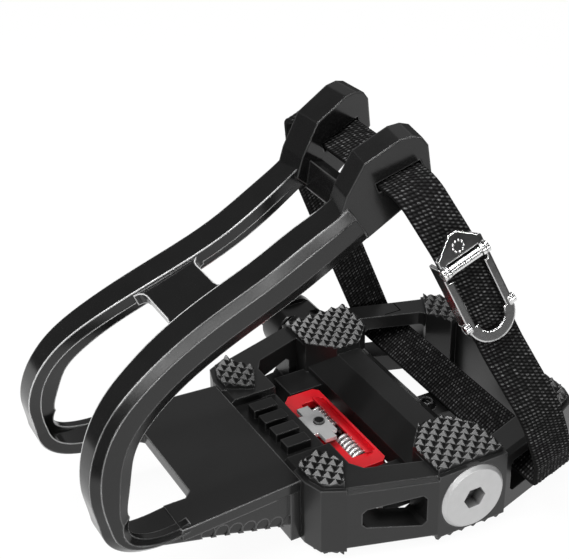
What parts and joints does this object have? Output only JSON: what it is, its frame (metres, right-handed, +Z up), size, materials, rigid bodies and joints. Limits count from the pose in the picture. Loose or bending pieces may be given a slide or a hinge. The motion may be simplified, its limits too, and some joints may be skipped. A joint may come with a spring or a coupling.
{
  "type": "indoor cycle pedal",
  "caption": "Left indoor-cycle pedal: studded black frame with a toe cage and buckled strap on one side, and a sprung red clip binding on the other.",
  "frame": {"origin": "on the spindle's axis at the shoulder that seats on the crank arm", "axes": "+X points to the toe, +Y points away from the crank along the spindle, +Z points up out of the toe-cage side"},
  "size_m": [0.1442, 0.1285, 0.1136],
  "materials": {
    "black_alloy": "satin black coating",
    "dark_steel": "blackened steel",
    "bright_steel": "bright steel",
    "rubber_seal": "matte",
    "silver_cap": "matte silver",
    "black_nylon": "satin moulded nylon",
    "black_steel": "blackened",
    "webbing": "coarse woven webbing",
    "chrome": "polished",
    "silver_jaw": "bright plated steel",
    "red_jaw": "glossy red coating"
  },
  "bodies": {
    "spindle_set": {"spindle": "dark_steel", "spindle_washer": "bright_steel", "spindle_nut": "bright_steel"},
    "pedal_set": {"pedal_body": "black_alloy", "inner_bearing": "bright_steel", "outer_bearing": "bright_steel", "spindle_seal": "rubber_seal", "end_cap": "silver_cap", "front_jaw": "silver_jaw", "jaw_bolt": "black_steel", "jaw_pin": "dark_steel", "jaw_spring_outer": "bright_steel", "jaw_spring_inner": "bright_steel", "toe_cage": "black_nylon", "cage_bolts": "black_steel", "cage_nuts": "black_steel", "strap": "webbing", "buckle_frame": "chrome", "buckle_pin": "chrome"},
    "clip_jaw": {"rear_jaw": "red_jaw", "tension_plate": "silver_jaw", "tension_screw": "black_steel"},
    "lever": {"buckle_lever": "chrome"},
    "roller": {"buckle_roller": "chrome"}
  },
  "joints": [
    {"name": "pedal_spin", "type": "hinge", "parent": "spindle_set", "child": "pedal_set", "pos_m": [0, 0.0605, 0], "axis": [0, 1, 0], "continuous": true},
    {"name": "jaw_hinge", "type": "hinge", "parent": "pedal_set", "child": "clip_jaw", "pos_m": [0.0168, 0.0605, -0.0026], "axis": [0, 1, 0], "range_deg": [-20, 0], "stiffness_Nm_per_rad": 2, "springref_deg": 17.19},
    {"name": "lever_hinge", "type": "hinge", "parent": "pedal_set", "child": "lever", "pos_m": [0.00514, 0.10168, 0.07357], "axis": [0.9317, 0, -0.3633], "range_deg": [-100, 0]},
    {"name": "roller_spin", "type": "hinge", "parent": "pedal_set", "child": "roller", "pos_m": [0.00514, 0.10168, 0.07357], "axis": [0.9317, 0, -0.3633], "continuous": true}
  ]
}
